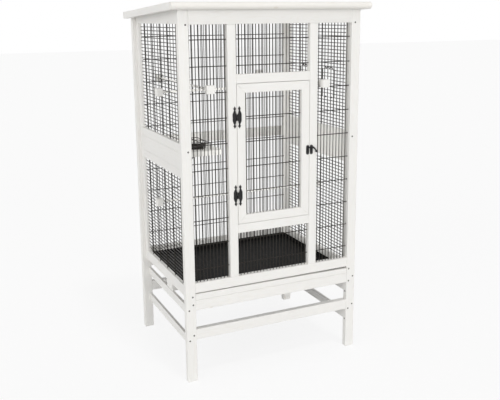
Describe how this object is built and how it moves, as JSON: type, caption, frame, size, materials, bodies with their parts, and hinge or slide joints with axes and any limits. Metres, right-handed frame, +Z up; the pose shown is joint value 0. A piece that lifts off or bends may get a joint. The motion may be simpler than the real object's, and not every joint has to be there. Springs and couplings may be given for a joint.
{
  "type": "aviary",
  "caption": "Tall white wooden indoor aviary on legs, with black welded wire walls, a lean-to roof, a hinged door with a latch, a pull-out tray, perches and wire feeding hatches.",
  "frame": {"origin": "on the floor, at the middle of the space that the roof and the perch ends cover", "axes": "+Z up, the front with the door faces -Y, the hatch wall is at +X"},
  "size_m": [0.868, 0.6716, 1.5308],
  "materials": {
    "white_paint": "satin white paint",
    "perch_wood": "thin white paint",
    "wire_black": "black coated wire",
    "iron_black": "black stoved iron",
    "tray_black": "matt black",
    "dish_black": "glossy black"
  },
  "bodies": {
    "cage": {"post_front_left": "white_paint", "post_front_right": "white_paint", "post_back_left": "white_paint", "post_back_right": "white_paint", "front_header": "white_paint", "front_bottom_rail": "white_paint", "mullion_left": "white_paint", "mullion_right": "white_paint", "front_transom": "white_paint", "door_sill_rail": "white_paint", "side_frame_upper_left": "white_paint", "side_frame_upper_right": "white_paint", "side_frame_lower_left": "white_paint", "side_frame_lower_right": "white_paint", "side_mid_board_left": "white_paint", "side_mid_board_right": "white_paint", "back_top_rail": "white_paint", "back_mid_rail": "white_paint", "back_bottom_rail": "white_paint", "stand_rail_front": "white_paint", "stand_rail_back": "white_paint", "stand_rail_left": "white_paint", "stand_rail_right": "white_paint", "stretcher_front": "white_paint", "stretcher_back": "white_paint", "stretcher_left": "white_paint", "stretcher_right": "white_paint", "tray_runner_left": "white_paint", "tray_runner_right": "white_paint", "roof_panel": "white_paint", "roof_nosing": "white_paint", "hinge_upper_fixed_leaf": "iron_black", "hinge_lower_fixed_leaf": "iron_black", "latch_keeper": "iron_black", "front_wire_left": "wire_black", "front_wire_right": "wire_black", "front_wire_top": "wire_black", "front_wire_bottom": "wire_black", "side_wire_upper_left": "wire_black", "side_wire_upper_right": "wire_black", "side_wire_lower_left": "wire_black", "side_wire_lower_right": "wire_black", "back_wire": "wire_black", "perch_lengthways_left": "perch_wood", "perch_lengthways_right": "perch_wood", "perch_across_upper": "perch_wood", "perch_across_lower": "perch_wood", "feeding_shelf": "white_paint", "feeding_dish": "dish_black"},
    "door": {"door_frame": "white_paint", "door_wire": "wire_black", "hinge_upper_door_leaf": "iron_black", "hinge_lower_door_leaf": "iron_black", "latch_plate": "iron_black"},
    "latch": {"latch_lever": "iron_black"},
    "tray": {"tray": "tray_black", "tray_front_board": "white_paint"},
    "front_hatch": {"hatch_front": "wire_black"},
    "rear_hatch": {"hatch_rear": "wire_black"}
  },
  "joints": [
    {"name": "door_hinge", "type": "hinge", "parent": "cage", "child": "door", "pos_m": [-0.16575, -0.3075, 0.93], "axis": [0, 0, -1], "range_deg": [0, 165]},
    {"name": "latch_turn", "type": "hinge", "parent": "door", "child": "latch", "pos_m": [0.153, -0.3082, 0.941], "axis": [0, -1, 0], "range_deg": [0, 80]},
    {"name": "tray_slide", "type": "slide", "parent": "cage", "child": "tray", "axis": [0, -1, 0], "range_m": [0, 0.5]},
    {"name": "front_hatch_hinge", "type": "hinge", "parent": "cage", "child": "front_hatch", "pos_m": [0.3799, -0.08775, 1.118], "axis": [0, 1, 0], "range_deg": [0, 160]},
    {"name": "rear_hatch_hinge", "type": "hinge", "parent": "cage", "child": "rear_hatch", "pos_m": [0.3799, 0.11525, 1.118], "axis": [0, 1, 0], "range_deg": [0, 160]}
  ]
}
